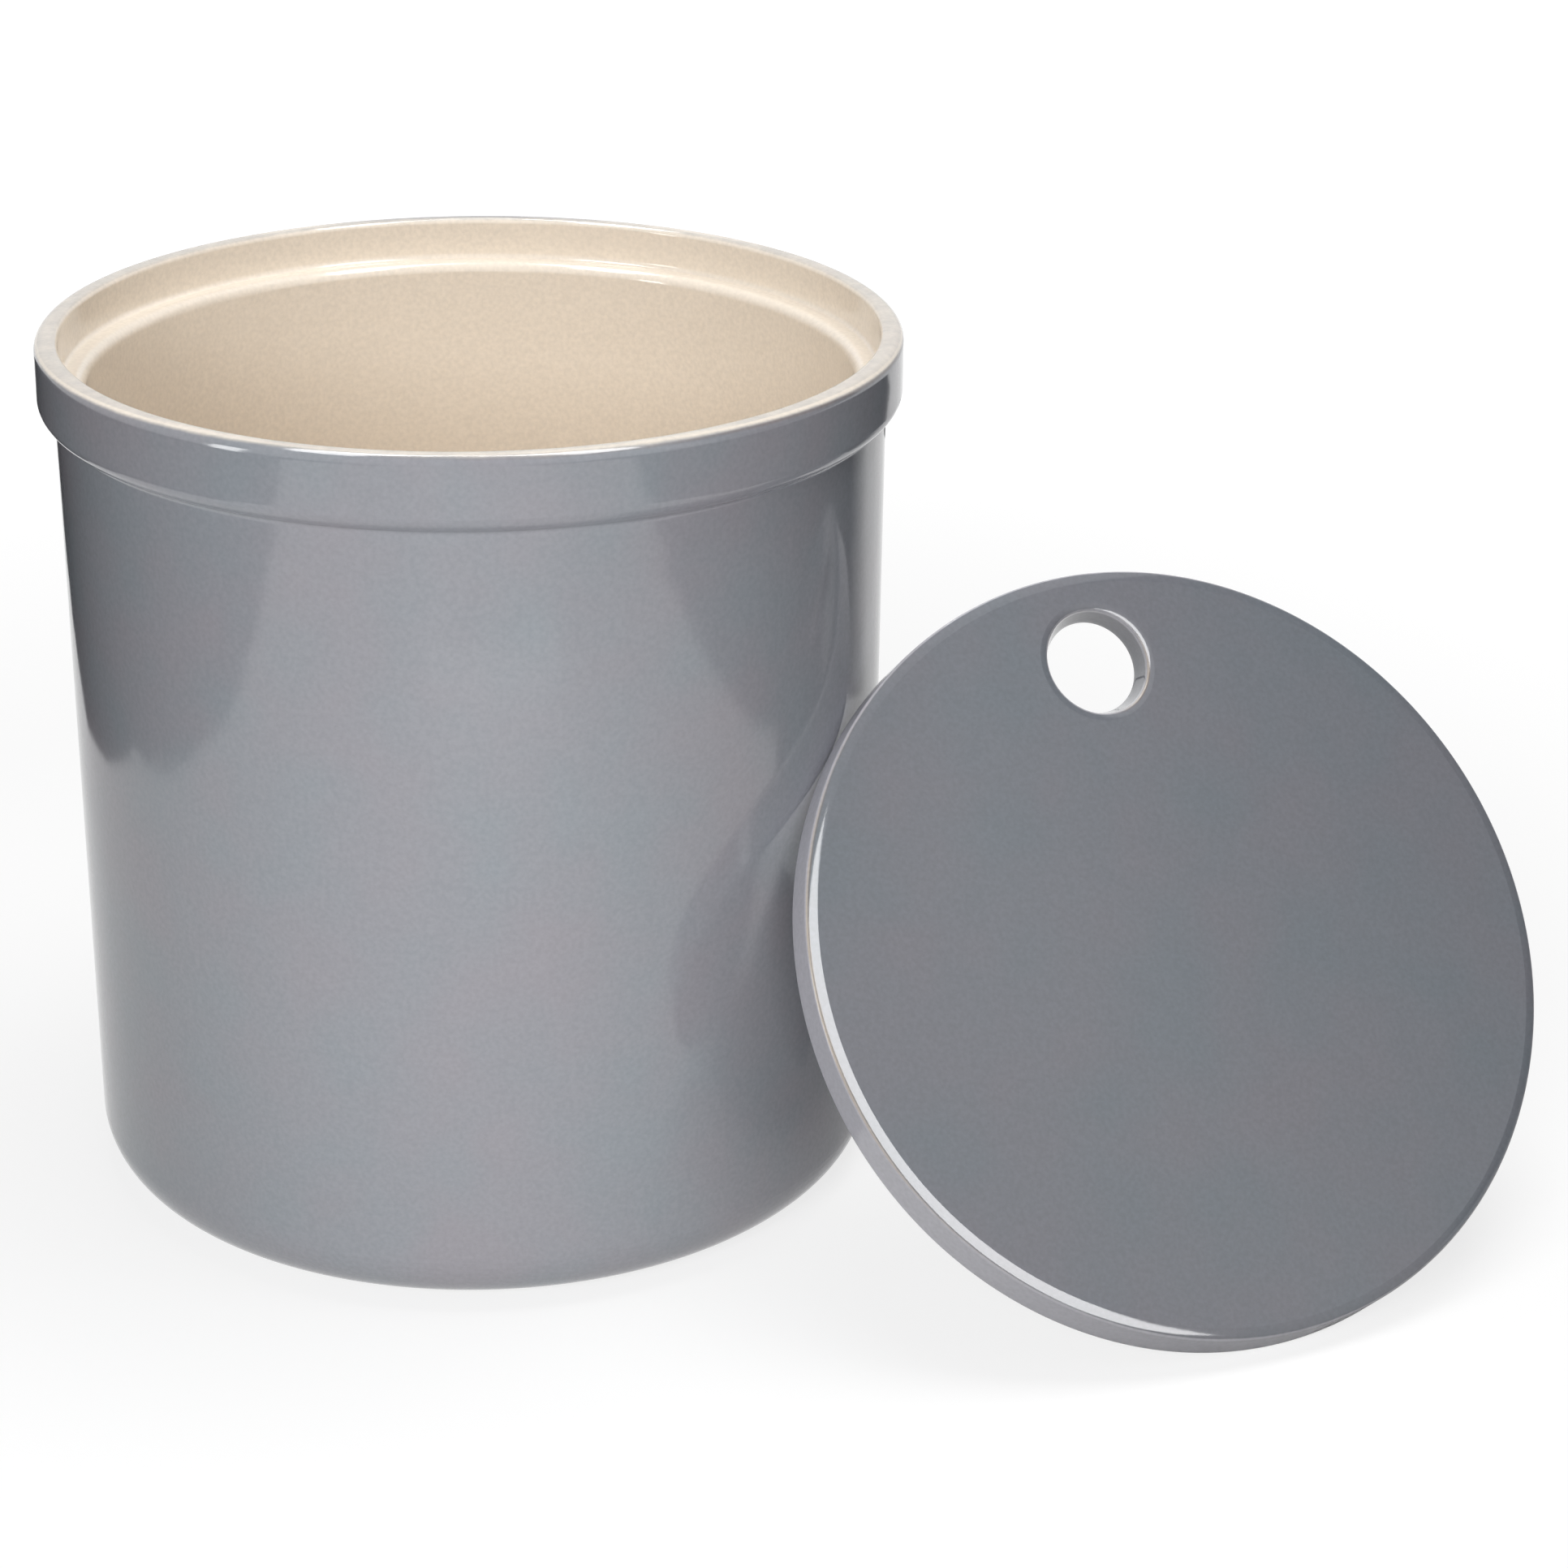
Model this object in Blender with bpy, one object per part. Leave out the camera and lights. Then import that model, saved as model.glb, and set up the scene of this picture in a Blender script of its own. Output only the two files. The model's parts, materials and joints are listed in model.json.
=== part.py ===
"""Potato storage pot: a glazed stoneware crock with its loose lid.

The crock is one thrown and fired piece: a straight body with rounded base corners, and a
thick collar round the mouth whose inside is cut back to a ledge for the lid. The lid is a flat
disc with one finger hole near its edge, cut by hand, so that the hole narrows and runs a little
askew to the back. The lid stands on the floor and leans against the crock.

Units are metres and +Z is up. The origin is on the crock's axis, on the surface it stands on.
"""

from math import atan2, cos, degrees, hypot, pi, radians, sin, tan

import bmesh
import bpy
import numpy as np
from mathutils import Matrix, Vector

# Crock, outside
POT_HEIGHT = 0.249
COLLAR_RADIUS = 0.120
COLLAR_FACE_HEIGHT = 0.0158
COLLAR_OVERHANG = 0.0046
COLLAR_UNDER_DROP = 0.0045
COLLAR_UNDER_TURN = radians(43)
CREASE_FILLET = 0.0010
BODY_TAPER = 0.0010
BASE_CORNER_ROUND = 0.0172

# Crock, inside
BODY_WALL = 0.0088
FLOOR_THICKNESS = 0.0100
FLOOR_CORNER_ROUND = 0.0140

# Crock, mouth
RIM_WIDTH = 0.0064
RIM_OUTER_ROUND = 0.0027
RIM_INNER_ROUND = 0.0015
RECESS_DEPTH = 0.0120
RECESS_CORNER_FILLET = 0.0015
LEDGE_LIP_ROUND = 0.0030

# Lid
LID_PLAY = 0.0026
LID_THICKNESS = 0.0120
LID_SHOULDER_WIDTH = 0.0034
LID_SHOULDER_DROP = 0.0018
LID_BACK_ROUND = 0.0016
FINGER_HOLE_RADIUS = 0.0153
FINGER_HOLE_BACK_RADIUS = 0.0136
FINGER_HOLE_ROUND = 0.0011
FINGER_HOLE_LAND = 0.0112
FINGER_HOLE_TURN = radians(0.3)
FINGER_HOLE_SIDE_SHIFT = 0.0034
FINGER_HOLE_UP_SHIFT = 0.0015
HOLE_FLARE_REACH = radians(72)
CUTTER_OVERSHOOT = 0.0007

# How the lid stands against the crock
LID_LEAN_BACK = radians(38.8)
LID_FACING = radians(25.2)
LID_BEARING = radians(-17.6)
CONTACT_GAP = 0.0003

# Fineness of the turned surfaces
TURN_STEPS = 72
HOLE_STEPS = 40
ARC_STEP = radians(18)

# Glazes: colour in linear light, then roughness
GREY_GLAZE = ((0.235, 0.246, 0.270, 1.0), 0.12)
CREAM_GLAZE = ((0.700, 0.590, 0.480, 1.0), 0.12)
LID_GLAZE = ((0.205, 0.220, 0.245, 1.0), 0.12)


def clear_scene():
    """Remove every object, so that the script gives the same result in any file."""
    for obj in list(bpy.data.objects):
        bpy.data.objects.remove(obj, do_unlink=True)


def make_material(name, glaze):
    """A Principled material from a glaze's colour and roughness."""
    colour, roughness = glaze
    material = bpy.data.materials.new(name)
    material.use_nodes = True
    shader = material.node_tree.nodes["Principled BSDF"]
    shader.inputs["Base Color"].default_value = colour
    shader.inputs["Roughness"].default_value = roughness
    shader.inputs["Metallic"].default_value = 0.0
    return material


def arc(centre, width, height, start, end):
    """Points along an ellipse or circle about centre, from angle start to end in degrees."""
    steps = max(3, round(abs(radians(end - start)) / ARC_STEP))
    angles = [radians(start + (end - start) * i / steps) for i in range(steps + 1)]
    return [(centre[0] + width * cos(a), centre[1] + height * sin(a)) for a in angles]


def tidy_outline(points):
    """The points of an outline with each one that repeats its neighbour left out."""
    kept = [points[0]]
    for point in points[1:]:
        if hypot(point[0] - kept[-1][0], point[1] - kept[-1][1]) > 1e-6:
            kept.append(point)
    return kept


def pot_sizes():
    """Radii and heights that follow from the driving sizes."""
    body_top = COLLAR_RADIUS - COLLAR_OVERHANG
    body_base = body_top - BODY_TAPER
    return {
        "body_top": body_top,
        "body_base": body_base,
        "recess": COLLAR_RADIUS - RIM_WIDTH,
        "ledge": POT_HEIGHT - RECESS_DEPTH,
        "bore_top": body_top - BODY_WALL,
        "bore_base": body_base - BODY_WALL,
    }


def pot_inner_outline():
    """(radius, height) points from the middle of the floor up to the crest of the rim."""
    size = pot_sizes()
    floor_arc = arc(
        (size["bore_base"] - FLOOR_CORNER_ROUND, FLOOR_THICKNESS + FLOOR_CORNER_ROUND),
        FLOOR_CORNER_ROUND,
        FLOOR_CORNER_ROUND,
        -90,
        0,
    )
    lip_arc = arc(
        (size["bore_top"] + LEDGE_LIP_ROUND, size["ledge"] - LEDGE_LIP_ROUND),
        LEDGE_LIP_ROUND,
        LEDGE_LIP_ROUND,
        180,
        90,
    )
    recess_arc = arc(
        (size["recess"] - RECESS_CORNER_FILLET, size["ledge"] + RECESS_CORNER_FILLET),
        RECESS_CORNER_FILLET,
        RECESS_CORNER_FILLET,
        -90,
        0,
    )
    rim_arc = arc(
        (size["recess"] + RIM_INNER_ROUND, POT_HEIGHT - RIM_INNER_ROUND),
        RIM_INNER_ROUND,
        RIM_INNER_ROUND,
        180,
        90,
    )
    return [(0.0, FLOOR_THICKNESS)] + floor_arc + lip_arc + recess_arc + rim_arc


def collar_underside():
    """(radius, height) points round the collar's lower edge and into the crease below it.

    The edge is the first stretch of an ellipse, and the fillet in the crease takes up its slope.
    """
    face_end = POT_HEIGHT - COLLAR_FACE_HEIGHT
    width = (COLLAR_OVERHANG - CREASE_FILLET) / (1 - cos(COLLAR_UNDER_TURN))
    height = COLLAR_UNDER_DROP / sin(COLLAR_UNDER_TURN)
    slope = atan2(height * cos(COLLAR_UNDER_TURN), width * sin(COLLAR_UNDER_TURN))
    edge = arc((COLLAR_RADIUS - width, face_end), width, height, 0, -degrees(COLLAR_UNDER_TURN))
    crease_centre = (
        pot_sizes()["body_top"] + CREASE_FILLET,
        face_end - COLLAR_UNDER_DROP - CREASE_FILLET / cos(slope),
    )
    return edge + arc(crease_centre, CREASE_FILLET, CREASE_FILLET, 90 + degrees(slope), 180)


def pot_outer_outline():
    """(radius, height) points from the crest of the rim down to the middle of the base."""
    size = pot_sizes()
    rim_arc = arc(
        (COLLAR_RADIUS - RIM_OUTER_ROUND, POT_HEIGHT - RIM_OUTER_ROUND),
        RIM_OUTER_ROUND,
        RIM_OUTER_ROUND,
        90,
        0,
    )
    base_arc = arc(
        (size["body_base"] - BASE_CORNER_ROUND, BASE_CORNER_ROUND),
        BASE_CORNER_ROUND,
        BASE_CORNER_ROUND,
        0,
        -90,
    )
    return rim_arc + collar_underside() + base_arc + [(0.0, 0.0)]


def lid_radius():
    """The lid lies in the recess with some play all round."""
    return pot_sizes()["recess"] - LID_PLAY


def lid_outline():
    """(radius, height) points of the lid's section, from the face's middle to the back's."""
    radius = lid_radius()
    shoulder = arc(
        (radius - LID_SHOULDER_WIDTH, LID_THICKNESS - LID_SHOULDER_DROP),
        LID_SHOULDER_WIDTH,
        LID_SHOULDER_DROP,
        90,
        0,
    )
    back_edge = arc((radius - LID_BACK_ROUND, LID_BACK_ROUND), LID_BACK_ROUND, LID_BACK_ROUND, 0, -90)
    return [(0.0, LID_THICKNESS)] + shoulder + back_edge + [(0.0, 0.0)]


def hole_cutter_outline():
    """Section of the finger hole's cutter: a bore that narrows to the back and flares at the faces.

    Each flare is a rounding that stops short of lying flat and then runs straight past the face.
    """
    reach = HOLE_FLARE_REACH
    rise = CUTTER_OVERSHOOT + FINGER_HOLE_ROUND * (1 - sin(reach))
    spread = FINGER_HOLE_ROUND * (1 - cos(reach)) + rise * tan(reach)
    front_centre = (FINGER_HOLE_RADIUS + FINGER_HOLE_ROUND, LID_THICKNESS - FINGER_HOLE_ROUND)
    back_centre = (FINGER_HOLE_BACK_RADIUS + FINGER_HOLE_ROUND, FINGER_HOLE_ROUND)
    above, below = LID_THICKNESS + CUTTER_OVERSHOOT, -CUTTER_OVERSHOOT
    front = arc(front_centre, FINGER_HOLE_ROUND, FINGER_HOLE_ROUND, 180 - degrees(reach), 180)
    back = arc(back_centre, FINGER_HOLE_ROUND, FINGER_HOLE_ROUND, 180, 180 + degrees(reach))
    start = [(0.0, above), (FINGER_HOLE_RADIUS + spread, above)]
    return start + front + back + [(FINGER_HOLE_BACK_RADIUS + spread, below), (0.0, below)]


def hole_lean():
    """Matrix that shears the cutter, so that the hole's back opening lies aside from its front."""
    side = FINGER_HOLE_SIDE_SHIFT / LID_THICKNESS
    up = FINGER_HOLE_UP_SHIFT / LID_THICKNESS
    return Matrix(
        (
            (1, 0, -side, FINGER_HOLE_SIDE_SHIFT),
            (0, 1, -up, FINGER_HOLE_UP_SHIFT),
            (0, 0, 1, 0),
            (0, 0, 0, 1),
        )
    )


def turned_object(name, outline, steps):
    """A solid of revolution about Z from an outline that starts and ends on the axis."""
    shape = bmesh.new()
    rim = [shape.verts.new((radius, 0.0, height)) for radius, height in tidy_outline(outline)]
    edges = [shape.edges.new(pair) for pair in zip(rim, rim[1:])]
    bmesh.ops.spin(
        shape,
        geom=rim + edges,
        cent=(0, 0, 0),
        axis=(0, 0, 1),
        angle=2 * pi,
        steps=steps,
        use_merge=True,
    )
    bmesh.ops.remove_doubles(shape, verts=shape.verts, dist=1e-6)
    bmesh.ops.recalc_face_normals(shape, faces=shape.faces)
    mesh = bpy.data.meshes.new(name)
    shape.to_mesh(mesh)
    shape.free()
    mesh.shade_smooth()
    mesh.set_sharp_from_angle(angle=radians(40))
    obj = bpy.data.objects.new(name, mesh)
    bpy.context.scene.collection.objects.link(obj)
    return obj


def line_inside(pot):
    """Give the faces of the bore, the ledge and the recess the second, cream material."""
    size = pot_sizes()
    crest = 0.5 * (size["recess"] + RIM_INNER_ROUND + COLLAR_RADIUS - RIM_OUTER_ROUND)
    for face in pot.data.polygons:
        radius = hypot(face.center.x, face.center.y)
        above_floor = face.center.z > 0.5 * FLOOR_THICKNESS
        limit = crest if face.center.z > size["ledge"] else size["bore_base"] + 0.5 * BODY_WALL
        if above_floor and radius < limit:
            face.material_index = 1


def lid_axes():
    """Directions along the lid: level across it, up its slope, and out of its face."""
    out = Vector(
        (
            cos(LID_LEAN_BACK) * sin(LID_FACING),
            -cos(LID_LEAN_BACK) * cos(LID_FACING),
            sin(LID_LEAN_BACK),
        )
    )
    level = Vector((0, 0, 1)).cross(out).normalized()
    return level, out.cross(level), out


def standing_place(points):
    """Where the turned lid's centre goes: on the floor, a contact gap away from the crock.

    The lid is moved along its bearing, and the distance is halved in until the nearest of its
    points lies one gap outside the crock's outline at that point's height.
    """
    outline = tidy_outline(pot_outer_outline())[::-1]
    heights = np.array([height for _, height in outline])
    radii = np.array([radius for radius, _ in outline])
    lift = -points[:, 2].min()
    level = points[:, 2] + lift
    wall = np.where(level <= POT_HEIGHT, np.interp(level, heights, radii), 0.0)

    def clearance(distance):
        x = points[:, 0] + distance * cos(LID_BEARING)
        y = points[:, 1] + distance * sin(LID_BEARING)
        return (np.hypot(x, y) - wall).min() - CONTACT_GAP

    near, far = 0.5 * COLLAR_RADIUS, 4.0 * (COLLAR_RADIUS + POT_HEIGHT)
    for _ in range(60):
        middle = 0.5 * (near + far)
        near, far = (near, middle) if clearance(middle) > 0 else (middle, far)
    return Vector((far * cos(LID_BEARING), far * sin(LID_BEARING), lift))


def make_pot():
    """The crock: body, collar, ledge and recess in one piece, cream inside and grey outside."""
    pot = turned_object("pot_body", pot_inner_outline() + pot_outer_outline(), TURN_STEPS)
    pot.data.materials.append(make_material("grey_glaze", GREY_GLAZE))
    pot.data.materials.append(make_material("cream_glaze", CREAM_GLAZE))
    line_inside(pot)
    return pot


def make_lid():
    """The lid with its finger hole, standing on the floor against the crock."""
    lid = turned_object("lid", lid_outline(), TURN_STEPS)
    lid.data.materials.append(make_material("lid_glaze", LID_GLAZE))

    cutter = turned_object("finger_hole_cutter", hole_cutter_outline(), HOLE_STEPS)
    cutter.data.transform(hole_lean())
    offset = lid_radius() - FINGER_HOLE_LAND - FINGER_HOLE_RADIUS
    cutter.location = (offset * -sin(FINGER_HOLE_TURN), offset * cos(FINGER_HOLE_TURN), 0.0)
    cutter.parent = lid
    cutter.hide_render = True
    cutter.display_type = "WIRE"
    cut = lid.modifiers.new("finger_hole", "BOOLEAN")
    cut.operation = "DIFFERENCE"
    cut.solver = "EXACT"
    cut.object = cutter

    turn = Matrix(lid_axes()).transposed()
    corners = np.array([turn @ vertex.co for vertex in lid.data.vertices])
    lid.matrix_world = Matrix.Translation(standing_place(corners)) @ turn.to_4x4()
    return lid


def main():
    """Build the crock and its lid."""
    clear_scene()
    make_pot()
    make_lid()


main()
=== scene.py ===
"""Looks of the potato storage pot: glazed crock, glazed lid, floor, studio light and camera.

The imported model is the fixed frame. The crock and the lid are each made again as one fine turned
surface in the place of their CAD solids, with the glazes worked out from the same surfaces.
"""

import json
import logging
from dataclasses import dataclass, field
from enum import Enum
from math import cos, pi, radians, sin

import bpy
import numpy as np
from mathutils import Matrix, Vector


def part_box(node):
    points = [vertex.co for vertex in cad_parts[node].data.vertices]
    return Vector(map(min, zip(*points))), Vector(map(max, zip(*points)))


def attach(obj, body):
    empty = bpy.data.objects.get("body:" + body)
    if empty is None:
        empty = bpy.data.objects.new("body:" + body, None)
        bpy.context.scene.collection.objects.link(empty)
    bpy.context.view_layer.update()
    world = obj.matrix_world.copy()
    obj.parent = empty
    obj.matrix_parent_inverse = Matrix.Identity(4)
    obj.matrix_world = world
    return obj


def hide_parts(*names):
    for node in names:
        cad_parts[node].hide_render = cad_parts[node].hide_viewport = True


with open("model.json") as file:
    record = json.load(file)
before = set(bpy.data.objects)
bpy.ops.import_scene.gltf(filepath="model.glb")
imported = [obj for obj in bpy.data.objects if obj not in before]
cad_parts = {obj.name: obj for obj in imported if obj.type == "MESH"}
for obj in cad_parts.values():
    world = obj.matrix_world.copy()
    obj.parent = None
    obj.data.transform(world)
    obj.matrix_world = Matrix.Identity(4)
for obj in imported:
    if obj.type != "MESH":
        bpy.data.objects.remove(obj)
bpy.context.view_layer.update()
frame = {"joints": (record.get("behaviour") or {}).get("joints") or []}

LOG = logging.getLogger("potato_pot")

# Degrees for each step of a rounding, and its least number of steps
ARC_STEP = 6
ARC_LEAST = 4

# Metres along an outline: the same place, from a corner to its guard point, the room that a guard
# point needs and the least step, and then an added point's room as a share of the spacing
SAME_PLACE = 1e-7
GUARD = 2e-4
GUARD_ROOM = 1.5e-4
LEAST_STEP = 4e-5
EXTRA_ROOM = 0.3

WHITE = (1.0, 1.0, 1.0, 1.0)

Place = tuple[float, float, float]
FlatPlace = tuple[float, float]
Socket = bpy.types.NodeSocket


class Body(Enum):
    """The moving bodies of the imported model."""

    POT = "pot"
    LID = "lid"


class Zone(Enum):
    """Point attributes that tell a glaze where it is on a piece."""

    THIN = "glaze_thin"
    LIGHT = "glaze_light"
    BROWN = "glaze_brown"
    BARE = "glaze_bare"


def linear(hex_colour: str) -> tuple[float, float, float, float]:
    """Turn an sRGB hex colour into linear light.

    Args:
        hex_colour: six hex digits, with or without a leading hash.

    Returns:
        Red, green, blue and alpha for a shader's colour socket.
    """
    digits = hex_colour.lstrip("#")
    channels = np.array([int(digits[i : i + 2], 16) for i in (0, 2, 4)]) / 255.0
    low = channels / 12.92
    high = ((channels + 0.055) / 1.055) ** 2.4
    red, green, blue = np.where(channels <= 0.04045, low, high)
    return float(red), float(green), float(blue), 1.0


def add_node(
    tree: bpy.types.NodeTree, kind: str, inputs: dict[str | int, object], **settings: object
) -> bpy.types.Node:
    """Add one node with its settings, and fill or link its inputs.

    Args:
        tree: the node tree that gets the node.
        kind: Blender's name of the node's type.
        inputs: input name or number to a plain value, or to the socket that feeds it.
        **settings: the node's own properties.

    Returns:
        The new node.
    """
    made = tree.nodes.new(kind)
    for name, value in settings.items():
        setattr(made, name, value)
    for key, value in inputs.items():
        if isinstance(value, Socket):
            tree.links.new(value, made.inputs[key])
        else:
            made.inputs[key].default_value = value
    return made


def arc(centre: FlatPlace, width: float, height: float, start: float, end: float) -> np.ndarray:
    """Points along part of an ellipse: centre plus (width cos a, height sin a), a step each 6 degrees.

    Args:
        centre: radius and height of the ellipse's centre in metres.
        width: half axis along the radius.
        height: half axis along the height.
        start: first angle in degrees.
        end: last angle in degrees.

    Returns:
        One row of radius and height for each point.
    """
    steps = max(ARC_LEAST, round(abs(end - start) / ARC_STEP))
    angle = np.radians(np.linspace(start, end, steps + 1))
    return np.stack([centre[0] + width * np.cos(angle), centre[1] + height * np.sin(angle)], 1)


def fill_in(points: np.ndarray, spacing: float) -> np.ndarray:
    """Add points along an outline's long stretches, where the length along it is a whole spacing.

    Each stretch that has room for it also gets a point close to both of its ends, which keeps the
    smooth shading of a rounding off the flat beside it.

    Args:
        points: the outline's points in order.
        spacing: the longest stretch that stays, about.

    Returns:
        The outline's own points with the added ones between them.
    """
    step = np.linalg.norm(np.diff(points, axis=0), axis=1)
    points = points[np.r_[True, step > SAME_PLACE]]
    along = np.r_[0.0, np.cumsum(step[step > SAME_PLACE])]
    extra = np.arange(spacing, along[-1], spacing)
    near = np.abs(extra[:, None] - along[None, :]).min(axis=1)
    near_edge = np.concatenate([along[:-1] + GUARD, along[1:] - GUARD])
    room = np.abs(near_edge[:, None] - along[None, :]).min(axis=1) > GUARD_ROOM
    kept = (along, extra[near > EXTRA_ROOM * spacing], near_edge[room])
    places = np.unique(np.concatenate(kept))
    places = places[np.r_[True, np.diff(places) > LEAST_STEP]]
    return np.stack([np.interp(places, along, column) for column in points.T], 1)


def ring_faces(rows: int, columns: int, close_rows: bool) -> np.ndarray:
    """Quads between neighbouring rows and columns of a grid whose columns run round.

    Args:
        rows: number of rings.
        columns: number of points in each ring.
        close_rows: whether the last ring joins the first.

    Returns:
        Four vertex numbers for each quad.
    """
    row = np.arange(rows if close_rows else rows - 1)[:, None]
    column = np.arange(columns)[None, :]
    after_row, after_column = (row + 1) % rows, (column + 1) % columns
    corners = (
        row * columns + column,
        row * columns + after_column,
        after_row * columns + after_column,
        after_row * columns + column,
    )
    grids = [np.broadcast_to(corner, (len(row), columns)) for corner in corners]
    return np.stack(grids, -1).reshape(-1, 4)


def make_piece(name: str, points: np.ndarray, faces: list[list[int]]) -> bpy.types.Object:
    """Make a smooth mesh object at the origin, with its faces turned outwards.

    The signed volume is the sum over the faces of corner . (next x next but one) / 6, and where it
    comes out negative the faces run the wrong way round, so each is reversed.

    Args:
        name: the piece's name.
        points: vertex places in metres.
        faces: vertex numbers of each face.

    Returns:
        The new object.
    """
    corner = np.array([face[:3] for face in faces])
    first, second, third = points[corner[:, 0]], points[corner[:, 1]], points[corner[:, 2]]
    if np.einsum("ij,ij->i", first, np.cross(second, third)).sum() < 0:
        faces = [face[::-1] for face in faces]
    mesh = bpy.data.meshes.new(name)
    mesh.from_pydata(points.tolist(), [], faces)
    mesh.update()
    mesh.shade_smooth()
    piece = bpy.data.objects.new(name, mesh)
    bpy.context.scene.collection.objects.link(piece)
    return piece


def mark(piece: bpy.types.Object, zone: Zone, values: np.ndarray) -> None:
    """Store one number from 0 to 1 for each vertex under a zone's name."""
    layer = piece.data.attributes.new(zone.value, "FLOAT", "POINT")
    layer.data.foreach_set("value", np.ascontiguousarray(np.clip(values, 0, 1), dtype=np.float32))


def hill(along: np.ndarray, centre: np.ndarray | float, width: float) -> np.ndarray:
    """A smooth hill along a length: exp(-((along - centre) / width) squared)."""
    return np.exp(-(((along - centre) / width) ** 2))


def around(turned: np.ndarray, centre: float, spread: float) -> np.ndarray:
    """A smooth hill round a circle: exp(-(1 - cos(turned - centre)) / (1 - cos(spread))), degrees."""
    return np.exp(-(1 - np.cos(turned - radians(centre))) / (1 - cos(radians(spread))))


@dataclass(frozen=True)
class StonewareGlaze:
    """Glossy feldspathic glaze on stoneware, poured and fired: colours, gloss and pattern sizes.

    The glassy coat gives sharp pale reflections. It is a very little cloudy, with cool and pinkish
    patches a few centimetres across and specks about a millimetre across, and it runs thin over
    each arris, where the pale layer below shows through with a thin brown line beside it.

    Pattern sizes and bump depths are in metres. The limits are the stretches of a noise or of a
    zone's value that are drawn out from none to all.
    """

    name: str
    cool: str
    warm: str
    light: str
    brown: str
    thin: str = "#9C9BA3"
    clay: str = "#C9B79E"
    roughness: float = 0.09
    clay_roughness: float = 0.7
    refraction: float = 1.55
    cloud: float = 0.034
    speck: float = 0.0013
    speck_contrast: float = 0.05
    noise_limits: tuple[float, float] = (0.3, 0.7)
    wander: float = 0.00625
    wander_reach: float = 0.07
    wander_limits: tuple[float, float] = (0.25, 0.75)
    edge_limits: tuple[float, float] = (0.08, 0.92)
    ripple: float = 0.014
    ripple_bump: tuple[float, float] = (0.20, 0.0004)
    peel_bump: tuple[float, float] = (0.06, 0.0001)

    def zone_factor(self, tree: bpy.types.NodeTree, zone: Zone, shift: Socket) -> Socket:
        """How far a zone holds here, from 0 to 1, with its edge moved by a shift and softened.

        Args:
            tree: the glaze's node tree.
            zone: the zone, whose values the piece's points carry.
            shift: what is added to the zone's value before its edge is softened.

        Returns:
            The socket with the softened value.
        """
        where = add_node(tree, "ShaderNodeAttribute", {}, attribute_name=zone.value).outputs["Fac"]
        moved = add_node(tree, "ShaderNodeMath", {0: where, 1: shift}, operation="ADD").outputs[0]
        start, end = self.edge_limits
        inputs = {"Value": moved, "From Min": start, "From Max": end}
        edge = add_node(tree, "ShaderNodeMapRange", inputs, interpolation_type="SMOOTHSTEP")
        return edge.outputs["Result"]

    def material(self) -> bpy.types.Material:
        """Build the glaze as a node material.

        Returns:
            The material, ready for a piece that carries the zone attributes.
        """
        material = bpy.data.materials.new(self.name)
        material.use_nodes = True
        tree = material.node_tree
        shader = tree.nodes["Principled BSDF"]
        shader.inputs["IOR"].default_value = self.refraction
        place = add_node(tree, "ShaderNodeTexCoord", {}).outputs["Object"]

        # Each pattern is a noise with patches of its own size and with its own detail
        patterns = {
            "cloud": (self.cloud, 2.0),
            "speck": (self.speck, 2.0),
            "wander": (self.wander, 2.0),
            "ripple": (self.ripple, 1.0),
        }
        noise: dict[str, Socket] = {}
        for pattern, (size, detail) in patterns.items():
            inputs = {"Vector": place, "Scale": 1 / size, "Detail": detail}
            noise[pattern] = add_node(tree, "ShaderNodeTexNoise", inputs).outputs["Fac"]

        # Cloudy patches, cool to pinkish
        limits = {"From Min": self.noise_limits[0], "From Max": self.noise_limits[1]}
        patch = add_node(tree, "ShaderNodeMapRange", {"Value": noise["cloud"], **limits})
        inputs = {"Factor": patch.outputs["Result"], "A": linear(self.cool), "B": linear(self.warm)}
        colour = add_node(tree, "ShaderNodeMix", inputs, data_type="RGBA").outputs["Result"]

        # Specks: the finest grains in the glaze, drawn about twice as coarse as they are
        reach = {"To Min": 1 - self.speck_contrast, "To Max": 1 + self.speck_contrast}
        inputs = {"Value": noise["speck"], **limits, **reach}
        shade = add_node(tree, "ShaderNodeMapRange", inputs).outputs["Result"]

        # Where the glaze changes, its edge wanders a little with a finer noise
        limits = {"From Min": self.wander_limits[0], "From Max": self.wander_limits[1]}
        reach = {"To Min": -self.wander_reach, "To Max": self.wander_reach}
        inputs = {"Value": noise["wander"], **limits, **reach}
        shift = add_node(tree, "ShaderNodeMapRange", inputs).outputs["Result"]
        factor = {zone: self.zone_factor(tree, zone, shift) for zone in Zone}

        # Pale where it is thin, and on the lid's side also painted light, cream or buff on light edges,
        # brown beside them, bare clay below
        layers = {
            Zone.THIN: self.thin,
            Zone.LIGHT: self.light,
            Zone.BROWN: self.brown,
            Zone.BARE: self.clay,
        }
        for zone, hex_colour in layers.items():
            inputs = {"Factor": factor[zone], "A": colour, "B": linear(hex_colour)}
            colour = add_node(tree, "ShaderNodeMix", inputs, data_type="RGBA").outputs["Result"]
        grain = add_node(tree, "ShaderNodeVectorMath", {0: colour, 1: shade}, operation="MULTIPLY")
        tree.links.new(grain.outputs["Vector"], shader.inputs["Base Color"])

        # The glass is glossy and the bare clay matt
        inputs = {"Value": factor[Zone.BARE], "To Min": self.roughness, "To Max": self.clay_roughness}
        gloss = add_node(tree, "ShaderNodeMapRange", inputs)
        tree.links.new(gloss.outputs["Result"], shader.inputs["Roughness"])

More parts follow.
